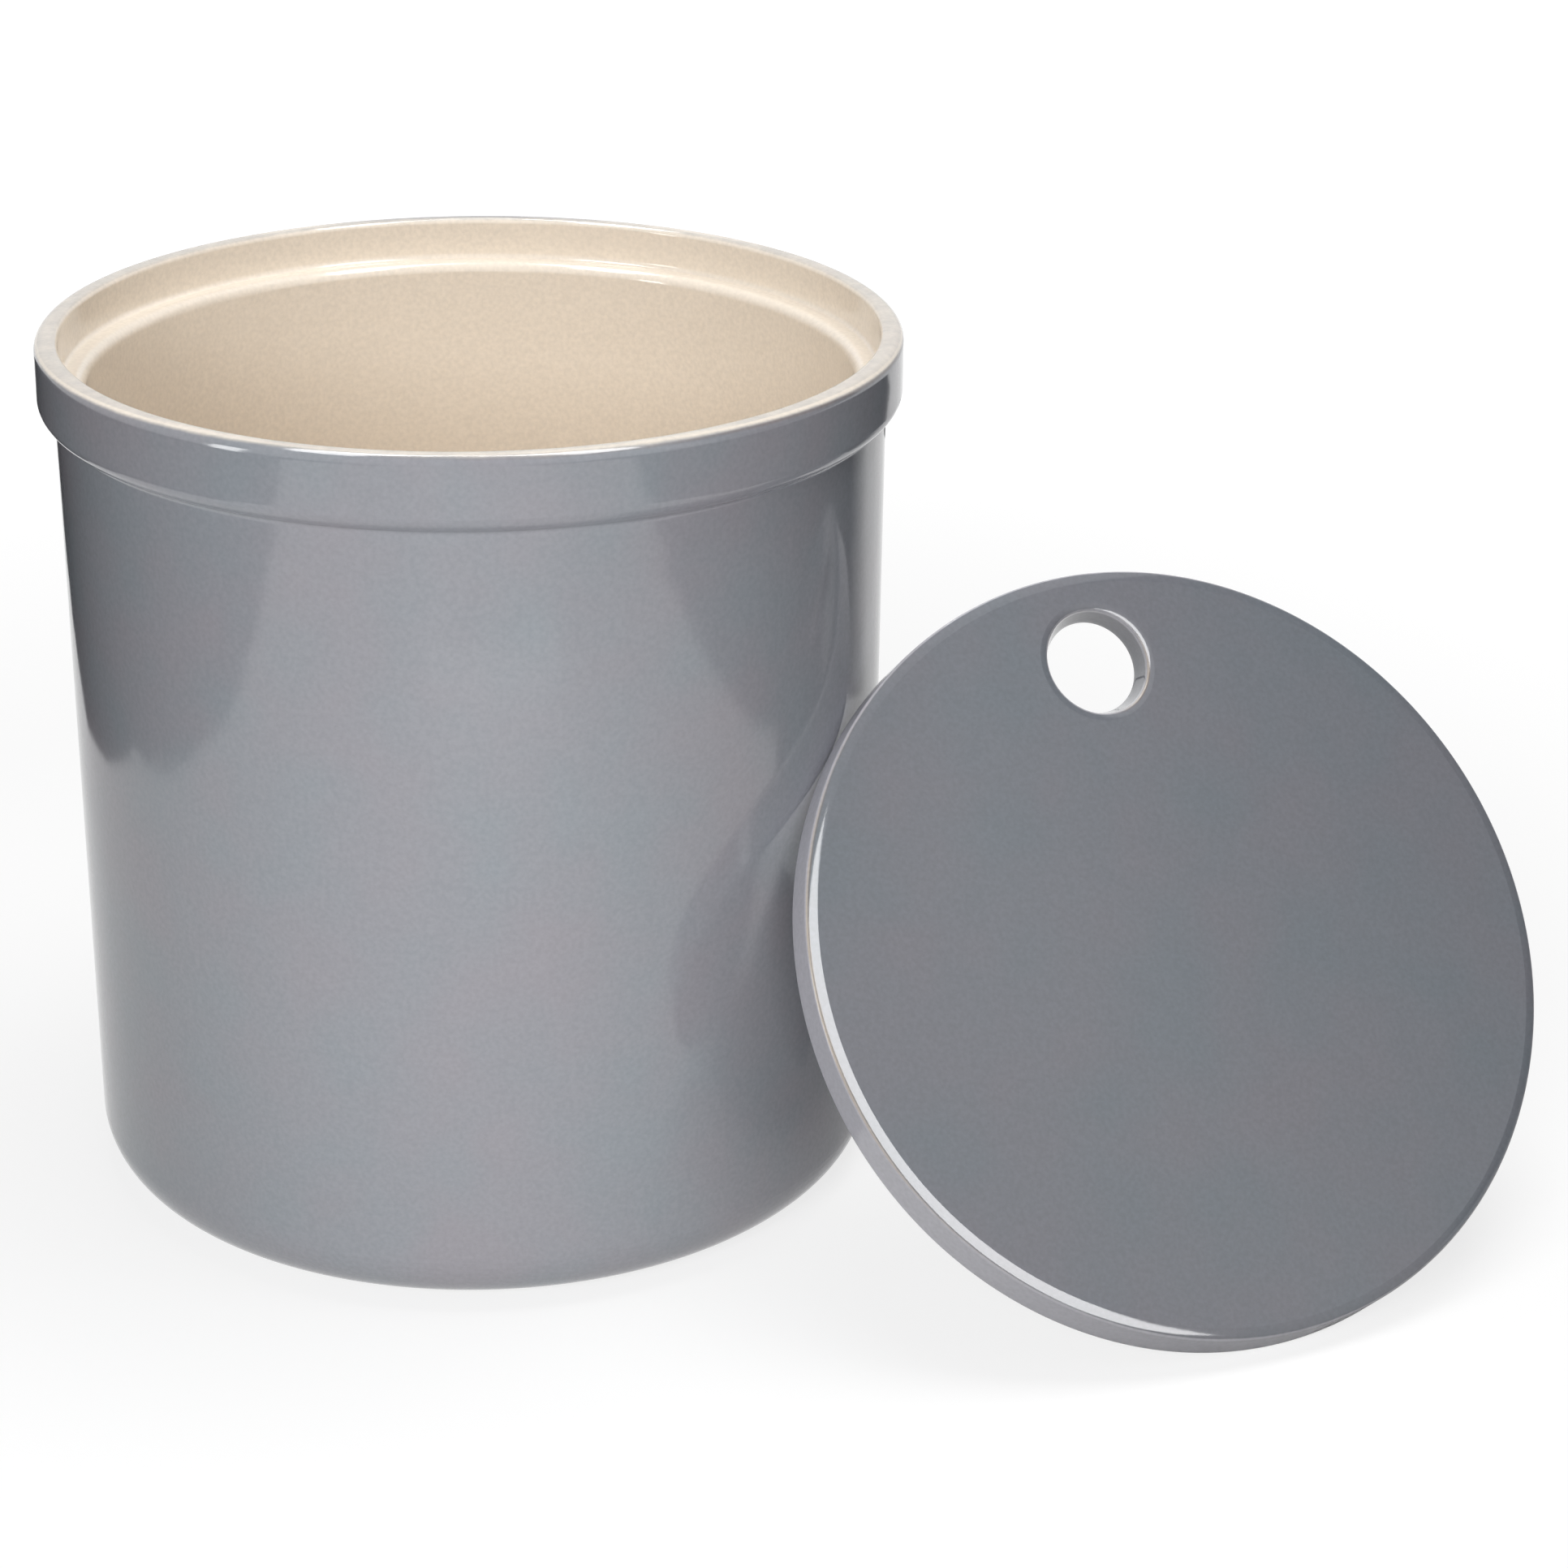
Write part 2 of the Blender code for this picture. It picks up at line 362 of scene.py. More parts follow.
        # The coat lies in low soft ripples, with a fine orange-peel on them
        normal: dict[str, Socket] = {}
        for pattern, (strength, depth) in (("ripple", self.ripple_bump), ("speck", self.peel_bump)):
            inputs = {"Height": noise[pattern], "Strength": strength, "Distance": depth, **normal}
            normal = {"Normal": add_node(tree, "ShaderNodeBump", inputs).outputs["Normal"]}
        tree.links.new(normal["Normal"], shader.inputs["Normal"])
        return material


CROCK_GLAZE = StonewareGlaze(
    "stoneware_grey_and_cream_glaze",
    cool="#8C9197",
    warm="#929096",
    light="#F9EEDF",
    brown="#857A75",
)
# Painted shade: the lid's grey is the crock's grey glaze made darker, because the lid's face catches more
# of the lamps than the crock's wall
LID_GLAZE = StonewareGlaze(
    "stoneware_grey_glaze_painted_darker",
    cool="#7B8188",
    warm="#818188",
    light="#C4B8AA",
    brown="#85776D",
    # Partly painted light: the side's thin glaze is pale, and this colour is made paler still to stand in
    # for light on the side
    thin="#C6C5CC",
)


@dataclass(frozen=True)
class DippedRim:
    """How the grey dip ends on the crock's cream rim, as lengths along the section in metres.

    Cream runs from the floor to the rim, lies under a grey veil on its flat, shows as a thin line
    beyond the veil, and fades out over the outer rounding. The fade's place and length are a mean
    plus a few low waves round the crock, because the grey was dipped by hand: it is early and long
    at the front and short at the right, where a thin brown line ends it.
    """

    end_past_flat: float = 0.0008
    end_sway: float = 0.0016
    end_wave: float = 0.0001
    fade_least: float = 0.0012
    fade_front: float = 0.0017
    front_spread: float = 45.0
    fade_waves: tuple[float, float] = (0.0002, 0.0001)
    veil: float = 0.40
    veil_start: float = -0.0018
    veil_rise: float = 0.0010
    veil_stop: float = -0.0001
    veil_fall: float = 0.0005
    brown: float = 0.55
    brown_turn: float = 1.2
    brown_share: float = 0.85
    brown_width: float = 0.0006

    def zones(self, from_crest: np.ndarray, turned: np.ndarray, flat: float) -> dict[Zone, np.ndarray]:
        """The cream and the brown line.

        With t the turn from the front, the cream ends at the flat's width plus end_past_flat,
        less end_sway cos 2t, plus end_wave sin 5t. It fades over fade_least, plus fade_front times
        a hill at the front, plus the two fade_waves times sin (3t + 1) and sin 8t.

        Args:
            from_crest: length past the start of the rim's flat, one row for each ring.
            turned: angle of each column about Z from the front, in radians.
            flat: the width of the rim's flat.

        Returns:
            A value for each row and column in each of the two zones.
        """
        sway, wave = self.end_sway * np.cos(2 * turned), self.end_wave * np.sin(5 * turned)
        past = from_crest - (flat + self.end_past_flat - sway + wave)
        front = self.fade_front * around(turned, 0.0, self.front_spread)
        slow, quick = self.fade_waves
        fade = self.fade_least + front + slow * np.sin(3 * turned + 1) + quick * np.sin(8 * turned)
        rise = np.clip((from_crest - self.veil_start) / self.veil_rise, 0.0, 1.0)
        fall = np.clip((self.veil_stop - past) / self.veil_fall, 0.0, 1.0)
        right = (0.5 + 0.5 * np.cos(turned - self.brown_turn)) ** 2
        return {
            Zone.LIGHT: np.clip(1.0 - self.veil * rise * fall - np.maximum(past, 0) / fade, 0.0, 1.0),
            Zone.BROWN: self.brown * right * hill(past, self.brown_share * fade, self.brown_width),
        }


@dataclass
class Crock:
    """The thrown crock: straight body, collar, ledge for the lid, cream inside."""

    collar_face: float = 0.0158
    collar_overhang: float = 0.0046
    under_drop: float = 0.0045
    under_turn: float = 43.0
    crease_fillet: float = 0.0016
    body_taper: float = 0.0010
    base_round: float = 0.0172
    wall: float = 0.0088
    floor: float = 0.0100
    floor_round: float = 0.0140
    rim_width: float = 0.0064
    rim_outer_round: float = 0.0027
    rim_inner_round: float = 0.0015
    recess_depth: float = 0.0120
    recess_fillet: float = 0.0015
    lip_round: float = 0.0030
    bare_top: float = 0.00084
    bare_fade: float = 0.0007
    dip: DippedRim = DippedRim()
    columns: int = 480
    spacing: float = 0.004
    node: str = "pot_body"
    height: float = field(init=False)
    radius: float = field(init=False)

    def __post_init__(self) -> None:
        """Take the height and the collar's radius from the CAD node."""
        low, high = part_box(self.node)
        self.height = high[2]
        self.radius = 0.5 * (high[0] - low[0])

    def outline(self) -> tuple[np.ndarray, np.ndarray]:
        """The section from the floor's middle over the rim to the foot's middle.

        Each rounding is an arc tangent to its neighbours, and straight lines join them.

        Returns:
            The inner and the outer part, both as rows of radius and height.
        """
        body_top = self.radius - self.collar_overhang
        body_base = body_top - self.body_taper
        bore_top, bore_base = body_top - self.wall, body_base - self.wall
        recess = self.radius - self.rim_width
        ledge = self.height - self.recess_depth
        corner, lip = self.floor_round, self.lip_round
        fillet, inner_round = self.recess_fillet, self.rim_inner_round
        inner = np.concatenate(
            [
                [(0.0, self.floor)],
                arc((bore_base - corner, self.floor + corner), corner, corner, -90, 0),
                arc((bore_top + lip, ledge - lip), lip, lip, 180, 90),
                arc((recess - fillet, ledge + fillet), fillet, fillet, -90, 0),
                arc((recess + inner_round, self.height - inner_round), inner_round, inner_round, 180, 90),
            ]
        )
        turn = radians(self.under_turn)
        face_end = self.height - self.collar_face
        crease, outer_round, base = self.crease_fillet, self.rim_outer_round, self.base_round
        width = (self.collar_overhang - crease) / (1 - cos(turn))
        drop = self.under_drop / sin(turn)
        slope = np.arctan2(drop * cos(turn), width * sin(turn))
        crease_centre = (body_top + crease, face_end - self.under_drop - crease / cos(slope))
        rim_centre = (self.radius - outer_round, self.height - outer_round)
        outer = np.concatenate(
            [
                arc(rim_centre, outer_round, outer_round, 90, 0),
                arc((self.radius - width, face_end), width, drop, 0, -self.under_turn),
                arc(crease_centre, crease, crease, 90 + float(np.degrees(slope)), 180),
                arc((body_base - base, base), base, base, 0, -90),
                [(0.0, 0.0)],
            ]
        )
        return inner, outer

    def zones(self, section: np.ndarray, crest: int, angle: np.ndarray) -> dict[Zone, np.ndarray]:
        """Where the crock is cream, edged with brown or bare.

        The foot is bare below a height, fading in: clip((bare_top - height) / bare_fade, 0, 1).

        Args:
            section: rows of radius and height.
            crest: number of the first row of the rim's flat.
            angle: angle of each column about Z.

        Returns:
            A value for each row and column in each zone.
        """
        along = np.r_[0.0, np.cumsum(np.linalg.norm(np.diff(section, axis=0), axis=1))]
        flat = self.rim_width - self.rim_inner_round - self.rim_outer_round
        from_crest = along[:, None] - along[crest]

        # The inside counts as a metre above the foot, so that it is never bare
        above_foot = np.where(np.arange(len(section)) > crest, section[:, 1], 1.0)
        bare = np.clip((self.bare_top - above_foot) / self.bare_fade, 0.0, 1.0)
        return {
            **self.dip.zones(from_crest, angle + pi / 2, flat),
            Zone.BARE: np.repeat(bare[:, None], len(angle), axis=1),
        }

    def build(self) -> bpy.types.Object:
        """Turn the section about Z: (r cos a, r sin a, z), with one vertex at each pole.

        Returns:
            The crock's mesh with its zones marked.
        """
        inner, outer = self.outline()
        inner, outer = fill_in(inner, self.spacing), fill_in(outer, self.spacing)
        section = np.concatenate([inner, outer])
        angle = np.linspace(0, 2 * pi, self.columns, endpoint=False)
        zones = self.zones(section, len(inner) - 1, angle)
        body = section[1:-1]
        radius = body[:, :1]
        level = np.broadcast_to(body[:, 1:], (len(body), self.columns))
        grid = np.stack([radius * np.cos(angle), radius * np.sin(angle), level], -1)
        points = np.concatenate([grid.reshape(-1, 3), [(0, 0, section[0, 1]), (0, 0, section[-1, 1])]])
        quads = ring_faces(len(body), self.columns, close_rows=False)
        column = np.arange(self.columns)
        after = (column + 1) % self.columns
        last = (len(body) - 1) * self.columns
        floor_pole, foot_pole = len(points) - 2, len(points) - 1
        floor_fan = np.stack([np.full(self.columns, floor_pole), after, column], 1)
        foot_fan = np.stack([np.full(self.columns, foot_pole), last + column, last + after], 1)
        piece = make_piece("crock", points, quads.tolist() + floor_fan.tolist() + foot_fan.tolist())
        for zone, values in zones.items():
            mark(piece, zone, np.r_[values[1:-1].ravel(), values[0, 0], values[-1, 0]])
        return piece

    def dress(self, piece: bpy.types.Object, glaze: StonewareGlaze) -> None:
        """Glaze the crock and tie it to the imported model.

        Args:
            piece: the crock's mesh.
            glaze: the glaze that covers it.
        """
        piece.data.materials.append(glaze.material())
        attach(piece, Body.POT.value)
        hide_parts(self.node)


@dataclass(frozen=True)
class GlazeLine:
    """A line of another colour along an edge: strength, place past the shoulder, and width."""

    strength: float
    place: float
    width: float

    def at(self, past: np.ndarray) -> np.ndarray:
        """The line's strength at lengths past the shoulder."""
        return self.strength * hill(past, self.place, self.width)


@dataclass(frozen=True)
class BrokenEdge:
    """An edge where a face turns down: a narrow sloped shoulder, an arris, and the side below.

    The slope grows along the edge: quickly to the shoulder's first slope, slowly over the
    shoulder, and quickly again to straight down over the arris.
    """

    width: float
    drop: float
    shoulder: float
    slopes: tuple[float, float] = (8.0, 17.0)
    crease: float = 0.00015
    stretch_points: int = 12
    thin_rise: float = 0.0006
    pale_line: GlazeLine = GlazeLine(strength=0.85, place=0.00045, width=0.00038)
    brown_line: GlazeLine = GlazeLine(strength=0.80, place=-0.00005, width=0.00020)

    def outline(self) -> np.ndarray:
        """Points from the face outwards: the running sums of cos and sin of the slope, then fitted.

        Returns:
            Rows of distance outwards, distance down, and length along the edge.
        """
        start, end = radians(self.slopes[0]), radians(self.slopes[1])
        arris = (self.width - self.crease - self.shoulder) * (pi / 2 - end) / (1 - sin(end))
        ends = np.cumsum([0.0, self.crease, self.shoulder, arris])
        stretches = [np.linspace(*pair, self.stretch_points) for pair in zip(ends[:-1], ends[1:])]
        along = np.unique(np.concatenate(stretches))
        slope = np.interp(0.5 * (along[1:] + along[:-1]), ends, [0.0, start, end, pi / 2])
        steps = np.diff(along)
        out, down = np.cumsum(steps * np.cos(slope)), np.cumsum(steps * np.sin(slope))
        fitted = np.stack([out * self.width / out[-1], down * self.drop / down[-1], along[1:]], 1)
        return np.concatenate([[(0.0, 0.0, 0.0)], fitted])

    def zones(self, along: np.ndarray) -> dict[Zone, np.ndarray]:
        """Thin and paler from the arris on, the paler part partly painted light, with a pale line on it and
        a brown one above.
        """
        past = along - (self.crease + self.shoulder)
        return {
            Zone.THIN: np.clip(past / self.thin_rise, 0, 1),
            Zone.LIGHT: self.pale_line.at(past),
            Zone.BROWN: self.brown_line.at(past),
        }


@dataclass(frozen=True)
class Side:
    """Where round a circle something is strongest: least share, direction and spread in degrees."""

    least: float
    direction: float
    spread: float

    def share(self, turned: np.ndarray) -> np.ndarray:
        """The least share plus the rest of 1 times a hill round the circle."""
        return self.least + (1 - self.least) * around(turned, self.direction, self.spread)


@dataclass
class Lid:
    """The turned lid with its finger hole, standing on the floor against the crock.

    Directions round it are angles in its face, from its level axis towards the top of its slope.
    """

    radius: float = 0.1110
    thickness: float = 0.0120
    edge: BrokenEdge = BrokenEdge(width=0.0034, drop=0.0018, shoulder=0.00245)
    back_round: float = 0.0016
    hole_radius: float = 0.0153
    hole_back_radius: float = 0.0136
    hole_edge: BrokenEdge = BrokenEdge(width=0.0023, drop=0.00125, shoulder=0.00145)
    hole_back_round: float = 0.0011
    hand_inset: float = 0.0017
    hand_side: Side = Side(least=0.0, direction=245.0, spread=45.0)
    rim_lines: Side = Side(least=0.1, direction=178.0, spread=40.0)
    mouth_lines: Side = Side(least=0.2, direction=330.0, spread=50.0)
    hole_centre: FlatPlace = (-0.00044, 0.0845)
    hole_shift: FlatPlace = (0.0034, 0.0015)
    bore_steps: int = 6
    side_steps: int = 4
    face_steps: int = 27
    columns: int = 540
    node: str = "lid"

    def section(self) -> dict[str, np.ndarray]:
        """The closed section, from the bore's front end over the face and the edge to the back.

        A row has a radius about the hole, a radius about the lid, a share between the two, and a
        height. The flat faces run from share 0 at the hole to share 1 at the edge, closer near
        both ends, and the rows at the hole or the edge have the same number in both radii. The
        glaze lies thin over both front edges and down the lid's side, and is whole in the bore.

        Returns:
            The four columns and the zones by name.
        """
        lift, back, hole_back = self.thickness, self.back_round, self.hole_back_round
        flare, rim = self.hole_edge.outline()[::-1], self.edge.outline()
        mouth_radius = self.hole_radius + self.hole_edge.width - flare[:, 0]
        mouth = np.stack([mouth_radius, lift - flare[:, 1]], 1)
        shoulder = np.stack([self.radius - self.edge.width + rim[:, 0], lift - rim[:, 1]], 1)
        back_edge = arc((self.radius - back, back), back, back, 0, -90)
        flare_centre = (self.hole_back_radius + hole_back, hole_back)
        back_flare = arc(flare_centre, hole_back, hole_back, 270, 180)
        bore = np.linspace(back_flare[-1], mouth[0], self.bore_steps + 1)[1:-1]
        side = np.linspace(shoulder[-1], back_edge[0], self.side_steps + 1)[1:-1]
        share = 0.5 - 0.5 * np.cos(np.linspace(0, pi, self.face_steps + 1))[1:-1]
        outer = np.concatenate([shoulder, side, back_edge])
        inner = np.concatenate([back_flare, bore])

        # A metre along the edge is far past its lines, so that the back edge only has the pale thin colour,
        # partly painted light
        down_side = rim[-1, 2] + lift - side[:, 1]
        past_lines = np.ones(len(back_edge))
        at_mouth = self.hole_edge.zones(flare[:, 2])
        at_rim = self.edge.zones(np.r_[rim[:, 2], down_side, past_lines])

        def column(*parts: float | np.ndarray) -> np.ndarray:
            """One number for each row, from one or a list for the mouth, face, edge, back and bore."""
            lengths = (len(mouth), len(share), len(outer), len(share), len(inner))
            return np.concatenate([np.broadcast_to(*pair) for pair in zip(parts, lengths)])

        return {
            "about_hole": column(mouth[:, 0], mouth[-1, 0], outer[:, 0], back_flare[0, 0], inner[:, 0]),
            "about_lid": column(mouth[:, 0], shoulder[0, 0], outer[:, 0], back_edge[-1, 0], inner[:, 0]),
            "share": column(0.0, share, 1.0, share[::-1], 0.0),
            "height": column(mouth[:, 1], lift, outer[:, 1], 0.0, inner[:, 1]),
            **{zone.value: column(at_mouth[zone], 0.0, at_rim[zone], 0.0, 0.0) for zone in at_rim},
        }

    def turn(self) -> Matrix:
        """Rotation from the lid's own axes, where Z is out of its face, to the standing lid.

        The joint that lifts the lid off runs along its outward direction, its X is level, and its
        Y is up its slope.

        Returns:
            A 3 by 3 rotation matrix.
        """
        out = Vector(frame["joints"][0]["axis"]).normalized()
        level = Vector((0, 0, 1)).cross(out).normalized()
        return Matrix((level, out.cross(level), out)).transposed()

    def build(self) -> bpy.types.Object:
        """Carry the section round the hole and the edge together.

        For each angle about the hole, the edge point is where the ray from the hole's centre meets
        the edge. A point is (1 - share) times its place about the hole plus share times its place
        about the lid. The hole's centre moves sideways in proportion to the depth, because it was
        cut askew. The front of the edge lies further in on one side, where it was finished by
        hand. The whole is turned to the standing lid and set against the sides of the CAD node's
        box that the back of the lid reaches.

        Returns:
            The lid's mesh with its zones marked.
        """
        section = self.section()
        angle = np.linspace(0, 2 * pi, self.columns, endpoint=False)
        ray = np.stack([np.cos(angle), np.sin(angle)], 1)
        centre = np.array(self.hole_centre)
        inward = ray @ centre
        reach = -inward + np.sqrt(inward**2 - centre @ centre + self.radius**2)
        edge = (centre + reach[:, None] * ray) / self.radius
        depth = 1 - section["height"] / self.thickness
        middle = centre + depth[:, None] * np.array(self.hole_shift)
        hole_place = middle[:, None, :] + section["about_hole"][:, None, None] * ray[None]
        turned = np.arctan2(edge[:, 1], edge[:, 0])
        low, high = self.back_round, self.thickness - self.edge.drop
        upper = np.clip((section["height"] - low) / (high - low), 0, 1)
        inset = self.hand_inset * self.hand_side.share(turned)
        lid_place = (section["about_lid"][:, None] - upper[:, None] * inset)[..., None] * edge[None]
        share = section["share"][:, None, None]
        flat = (1 - share) * hole_place + share * lid_place
        height = np.broadcast_to(section["height"][:, None, None], flat.shape[:2] + (1,))
        points = np.concatenate([flat, height], -1).reshape(-1, 3) @ np.array(self.turn()).T
        corner_low, corner_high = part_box(self.node)
        points[:, :2] += np.array(corner_high)[:2] - points.max(axis=0)[:2]
        points[:, 2] += corner_low[2] - points[:, 2].min()
        rows = len(section["height"])
        piece = make_piece("lid_disc", points, ring_faces(rows, self.columns, close_rows=True).tolist())
        at_edge = section["share"][:, None] > 0.5
        lines = np.where(at_edge, self.rim_lines.share(turned), self.mouth_lines.share(angle))
        strengths = {Zone.THIN: np.ones_like(lines), Zone.LIGHT: lines, Zone.BROWN: lines}
        for zone, strength in strengths.items():
            mark(piece, zone, (section[zone.value][:, None] * strength).ravel())
        return piece

    def dress(self, piece: bpy.types.Object, glaze: StonewareGlaze) -> None:
        """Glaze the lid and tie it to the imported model.

        Args:
            piece: the lid's mesh.
            glaze: the glaze that covers it.
        """
        piece.data.materials.append(glaze.material())
        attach(piece, Body.LID.value)
        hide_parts(self.node)


@dataclass(frozen=True)
class Softbox:
    """One soft studio lamp: an oblong panel that faces a point.

    A panel that is only for fill isn't mirrored in the glaze, and one that is only for sparkle
    isn't scattered by it. A panel may be masked so that only the things it names get its light.
    """

    name: str
    place: Place
    aim: Place
    along: Place
    size: tuple[float, float]
    brightness: float
    mirrored: bool = True
    scattered: bool = True
    shown_on: tuple[str, ...] = ()

    def hang(self) -> None:
        """Add the lamp. A flat panel of brightness L and area A gives off pi L A watts."""
        lamp = bpy.data.lights.new(self.name, "AREA")
        lamp.shape = "RECTANGLE"
        lamp.size, lamp.size_y = self.size
        lamp.energy = pi * self.brightness * self.size[0] * self.size[1]
        holder = bpy.data.objects.new(self.name, lamp)
        bpy.context.scene.collection.objects.link(holder)
        back = (Vector(self.place) - Vector(self.aim)).normalized()
        side = Vector(self.along).cross(back).normalized()
        turn = Matrix((side, back.cross(side), back)).transposed().to_4x4()
        holder.matrix_world = Matrix.Translation(self.place) @ turn
        holder.visible_camera = False
        holder.visible_glossy = self.mirrored
        holder.visible_diffuse = self.scattered
        if self.shown_on:
            mask = bpy.data.collections.new(f"{self.name}_mask")
            for lit in self.shown_on:
                mask.objects.link(bpy.data.objects[lit])
            holder.light_linking.receiver_collection = mask


LAMPS = (
    Softbox(
        name="strip_right",
        place=(0.29, 0.16, 1.45),
        aim=(0.29, 0.16, 0.0),
        along=(-0.52, 0.92, 0.0),
        size=(0.25, 1.06),
        brightness=10.0,
        scattered=False,
        shown_on=("crock",),
    ),
    Softbox(
        name="strip_left",
        place=(-0.33, 0.43, 1.45),
        aim=(-0.33, 0.43, 0.0),
        along=(0.37, 1.28, 0.0),
        size=(0.25, 1.33),
        brightness=10.0,
        scattered=False,
    ),
    Softbox(
        name="sparkle_right",
        place=(0.583, -1.028, 0.733),
        aim=(0.125, -0.201, -0.006),
        along=(0.554, -0.334, -0.763),
        size=(0.60, 1.40),
        brightness=10.5,
        scattered=False,
        shown_on=("lid_disc",),
    ),
    Softbox(
        name="sparkle_left",
        place=(-0.78, -0.52, 0.32),
        aim=(0.10, -0.05, 0.15),
        along=(0.0, 0.0, 1.0),
        size=(0.14, 0.5),
        brightness=9.0,
        scattered=False,
    ),
    Softbox(
        name="overhead",
        place=(0.25, 0.10, 1.48),
        aim=(0.0, 0.0, 0.0),
        along=(0.0, 1.0, 0.0),
        size=(1.0, 0.8),
        brightness=5.1,
        mirrored=False,
    ),
    Softbox(
        name="key_front",
        place=(-0.34, -1.48, 0.80),
        aim=(0.0, 0.0, 0.15),
        along=(0.0, 0.0, 1.0),
        size=(0.7, 0.55),
        brightness=11.6,
        mirrored=False,
    ),
    Softbox(
        name="fill_front",
        place=(0.08, -0.60, 0.05),
        aim=(0.0, 0.0, 0.05),
        along=(0.0, 0.0, 1.0),
        size=(0.36, 0.12),
        brightness=10.0,
        mirrored=False,
        shown_on=("crock", "studio_floor"),
    ),
)


@dataclass(frozen=True)
class GradedCard:
    """A studio card that grades from white at one place into black at another."""

    corners: tuple[Place, ...]
    white: Place
    dark: Place


@dataclass
class StudioSet:
    """White table and surroundings, soft lamps, dark flags, and the camera at the photo's angle.

    The flags lie on the table, each given by its corners in plan. They leave the light bands free
    that the photo's glaze mirrors at both sides of the crock.
    """

    floor_half: float = 4.0
    floor_level: float = -0.0002
    shadow_share: float = 0.30
    shadow_fades: tuple[float, float] = (0.35, 0.9)
    gap_middle: Place = (0.25, -0.06, 0.0)
    gap_fades: tuple[float, float] = (0.09, 0.16)
    table_as_light: str = "#A0A0A0"
    table_as_seen: str = "#F4F4F4"
    table_glow: float = 1.1
    cloth_black: str = "#2A2A2C"
    sky: float = 0.08
    sensor: float = 36.0
    nearest: float = 0.05
    lens: float = 87.26
    camera_place: Place = (0.08807, -1.02136, 0.54475)
    pitch: float = 0.4016
    roll: float = 0.0110
    lamps: tuple[Softbox, ...] = LAMPS
    flags: tuple[tuple[FlatPlace, ...], ...] = (
        ((-4.0, -4.0), (-0.60, -4.0), (-0.60, -0.70), (-4.0, -0.70)),
        ((-4.0, -0.70), (-0.60, -0.70), (-0.445, -0.25), (-4.0, -0.25)),
        ((-4.0, -0.25), (-0.445, -0.25), (-0.425, 0.04), (-4.0, 0.04)),
        ((-4.0, 0.04), (-0.425, 0.04), (-0.325, 0.24), (-4.0, 4.0)),
        ((-0.325, 0.24), (-0.31, 0.47), (-0.31, 0.70), (-4.0, 4.0)),
        ((0.62, -4.0), (4.0, -4.0), (4.0, -0.7), (0.62, -0.7)),
        ((0.62, -0.7), (4.0, -0.7), (4.0, 0.21), (0.40, 0.21)),
        ((0.40, 0.21), (4.0, 0.21), (4.0, 0.40), (0.66, 0.40)),
        ((0.66, 0.40), (4.0, 0.40), (4.0, 0.53), (0.53, 0.53)),
        ((0.51, 0.66), (0.53, 0.53), (4.0, 0.53), (4.0, 0.66)),
        ((-0.31, 0.70), (0.24, 0.67), (0.24, 0.70), (-0.31, 0.78)),
        # Painted shade: this black sheet on the table behind the lid, seen only in the glaze, darkens the
        # crock's mirror of the shaded table there
        ((0.345, -0.03), (0.285, -0.09), (0.186, -0.03), (0.25, 0.05)),
    )
    cards: tuple[GradedCard, ...] = (
        GradedCard(
            corners=((2.1, -1.1, 0.3), (2.1, 1.2, 0.3), (2.1, 1.2, 3.2), (2.1, -1.1, 3.2)),
            white=(2.1, -1.1, 0.3),
            dark=(2.1, -0.5, 0.3),
        ),
        GradedCard(
            corners=((0.40, 0.21, 0.0), (0.66, 0.40, 0.0), (0.53, 0.53, 0.0), (0.27, 0.34, 0.0)),
            white=(0.40, 0.42, 0.0),
            dark=(0.505, 0.317, 0.0),
        ),
    )

    def lay_sheet(self, name: str, corners: tuple[Place, ...]) -> bpy.types.Object:
        """Add one flat sheet with four corners as part of the stage.

        Args:
            name: the sheet's name.
            corners: its four corners in order round it.

        Returns:
            The sheet, still without a material.
        """
        mesh = bpy.data.meshes.new(name)
        mesh.from_pydata(corners, [], [[0, 1, 2, 3]])
        sheet = bpy.data.objects.new(name, mesh)
        bpy.context.scene.collection.objects.link(sheet)
        return sheet

    def new_tree(self, name: str) -> tuple[bpy.types.Material, bpy.types.NodeTree]:
        """Make a material with an empty node tree.

        Args:
            name: the material's name.

        Returns:
            The material and its tree.
        """
        material = bpy.data.materials.new(name)
        material.use_nodes = True
        material.node_tree.nodes.clear()
        return material, material.node_tree

    def seen(self, tree: bpy.types.NodeTree) -> Socket:
        """One where a surface is looked at straight, mirrored or through, and zero where it only lights.

        Args:
            tree: the node tree of the surface or of the world.

        Returns:
            The largest of the camera, glossy and transmission ray values.
        """
        path = add_node(tree, "ShaderNodeLightPath", {}).outputs
        largest = path["Is Camera Ray"]
        for ray in ("Is Glossy Ray", "Is Transmission Ray"):
            inputs = {0: largest, 1: path[ray]}
            largest = add_node(tree, "ShaderNodeMath", inputs, operation="MAXIMUM").outputs[0]
        return largest

    def lay_floor(self) -> None:
        """A plain white table, seen as white with a soft share of the shadow."""
        half, level = self.floor_half, self.floor_level
        corners = ((-half, -half, level), (half, -half, level), (half, half, level), (-half, half, level))
        floor = self.lay_sheet("studio_floor", corners)
        material, tree = self.new_tree("matt_white_paint")
        seen = self.seen(tree)

        # The share of plain white grows from the object outwards, so that the far table is white
        place = add_node(tree, "ShaderNodeTexCoord", {}).outputs["Object"]
        away = add_node(tree, "ShaderNodeVectorMath", {0: place}, operation="LENGTH")
        inputs = {
            "Value": away.outputs["Value"],
            "From Min": self.shadow_fades[0],
            "From Max": self.shadow_fades[1],
            "To Min": 1 - self.shadow_share,
            "To Max": 1.0,
        }
        white_share = add_node(tree, "ShaderNodeMapRange", inputs).outputs["Result"]
        straight = add_node(tree, "ShaderNodeMath", {0: seen, 1: white_share}, operation="MULTIPLY")

